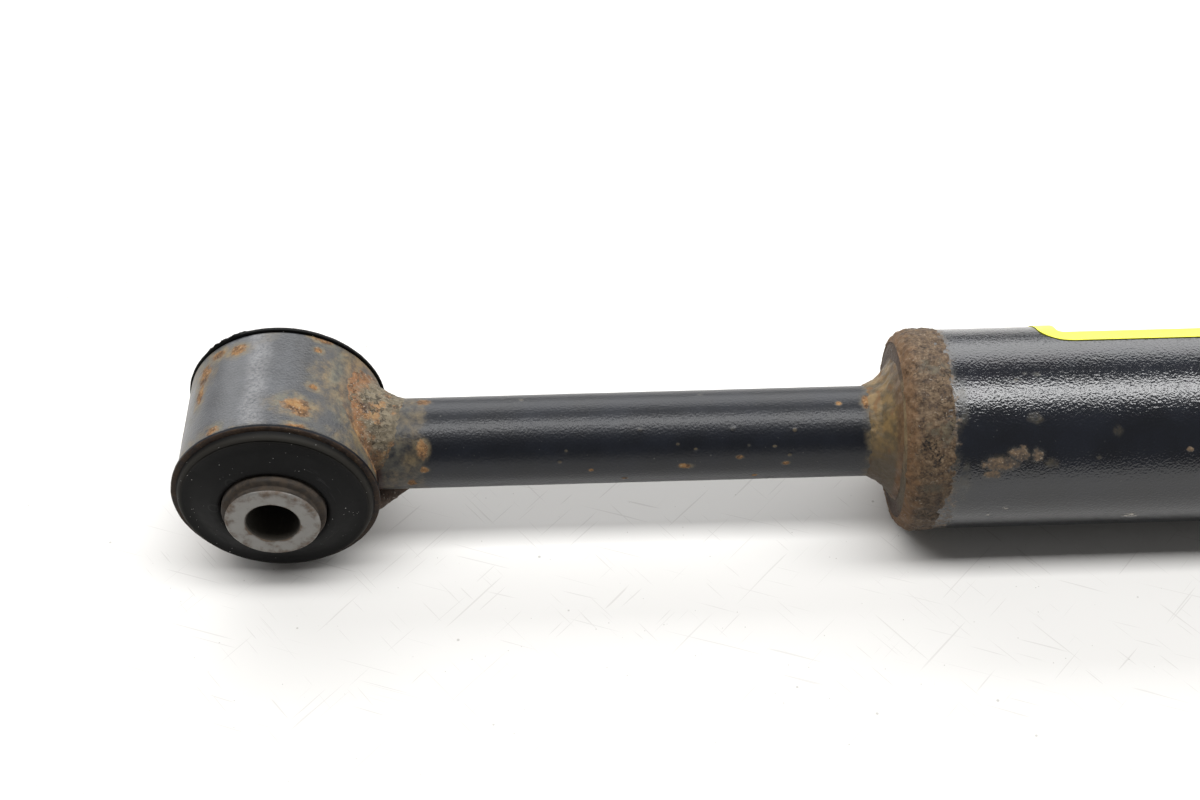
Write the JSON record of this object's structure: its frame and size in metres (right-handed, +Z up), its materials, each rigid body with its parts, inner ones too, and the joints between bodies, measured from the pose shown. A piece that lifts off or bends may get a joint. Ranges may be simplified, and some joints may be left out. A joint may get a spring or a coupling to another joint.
{
  "type": "rear shock absorber",
  "caption": "Telescopic rear shock absorber: rubber-bushed lower eye, slim extension tube welded to a wider body, chromed rod with bump stop and stud mounting.",
  "frame": {"origin": "under the middle of the part, on the surface it lies on, at full extension", "axes": "+X from the lower eye to the rod's stud, Y along the lower bolt, +Z up"},
  "size_m": [0.718, 0.0568, 0.0568],
  "materials": {
    "black_paint": "semi-gloss blue-black paint with rust spots at the welds",
    "rusty_weld": "rough rusty weld bead",
    "machined_steel": "machined, slightly stained",
    "dark_steel": "oiled dark steel",
    "chromed_rod": "ground and chromed",
    "rubber": "matt moulded rubber",
    "bump_stop_foam": "matt microcellular foam",
    "sintered_iron": "grey sintered iron",
    "ptfe_band": "smooth filled plastic band",
    "bronze": "bronze bush",
    "zinc_plate": "yellow-passivated zinc",
    "sticker": "printed film, yellow border, white inside"
  },
  "bodies": {
    "damper_body": {"eye_ring": "black_paint", "bush_outer_sleeve": "black_paint", "bush_rubber": "rubber", "extension_tube": "black_paint", "eye_weld_upper": "rusty_weld", "eye_weld_lower": "rusty_weld", "cap_fillet_weld": "rusty_weld", "base_cap": "black_paint", "base_weld": "rusty_weld", "body_tube": "black_paint", "label": "sticker", "inner_cylinder": "machined_steel", "rod_guide": "sintered_iron", "guide_bush": "bronze", "rod_seal": "rubber", "garter_spring": "dark_steel", "bump_cap": "zinc_plate", "base_valve_body": "sintered_iron", "base_valve_bolt": "dark_steel", "base_valve_shims": "machined_steel", "intake_spring": "machined_steel", "base_valve_nut": "dark_steel"},
    "eye_sleeve": {"bush_inner_sleeve": "machined_steel"},
    "intake_valve": {"intake_plate": "machined_steel"},
    "piston_band": {"piston_ring": "ptfe_band"},
    "rod": {"piston_rod": "chromed_rod", "piston": "sintered_iron", "rebound_shims": "machined_steel", "check_spring": "machined_steel", "piston_nut": "dark_steel", "rebound_stop_ring": "dark_steel", "rebound_bumper": "rubber", "bump_stop": "bump_stop_foam", "lower_cup_washer": "zinc_plate", "lower_grommet": "rubber", "grommet_spacer": "zinc_plate", "upper_grommet": "rubber", "upper_cup_washer": "zinc_plate", "top_nut": "zinc_plate"},
    "check_valve": {"check_plate": "machined_steel"}
  },
  "joints": [
    {"name": "sleeve_twist", "type": "hinge", "parent": "damper_body", "child": "eye_sleeve", "pos_m": [-0.331, 0, 0.0284], "axis": [0, 1, 0], "range_deg": [-20, 20], "stiffness_Nm_per_rad": 40},
    {"name": "intake_lift", "type": "slide", "parent": "damper_body", "child": "intake_valve", "axis": [1, 0, 0], "range_m": [0, 0.0012], "stiffness_N_per_m": 500, "springref_m": -0.001, "deforming": ["intake_spring"]},
    {"name": "rod_slide", "type": "slide", "parent": "damper_body", "child": "piston_band", "axis": [1, 0, 0], "range_m": [-0.165, 0], "stiffness_N_per_m": 300, "springref_m": 0.333, "deforming": ["bump_stop"]},
    {"name": "rod_spin", "type": "hinge", "parent": "piston_band", "child": "rod", "pos_m": [0.1, 0, 0.0284], "axis": [1, 0, 0], "continuous": true},
    {"name": "check_lift", "type": "slide", "parent": "rod", "child": "check_valve", "axis": [1, 0, 0], "range_m": [0, 0.0008], "stiffness_N_per_m": 800, "springref_m": -0.001, "deforming": ["check_spring"]}
  ]
}
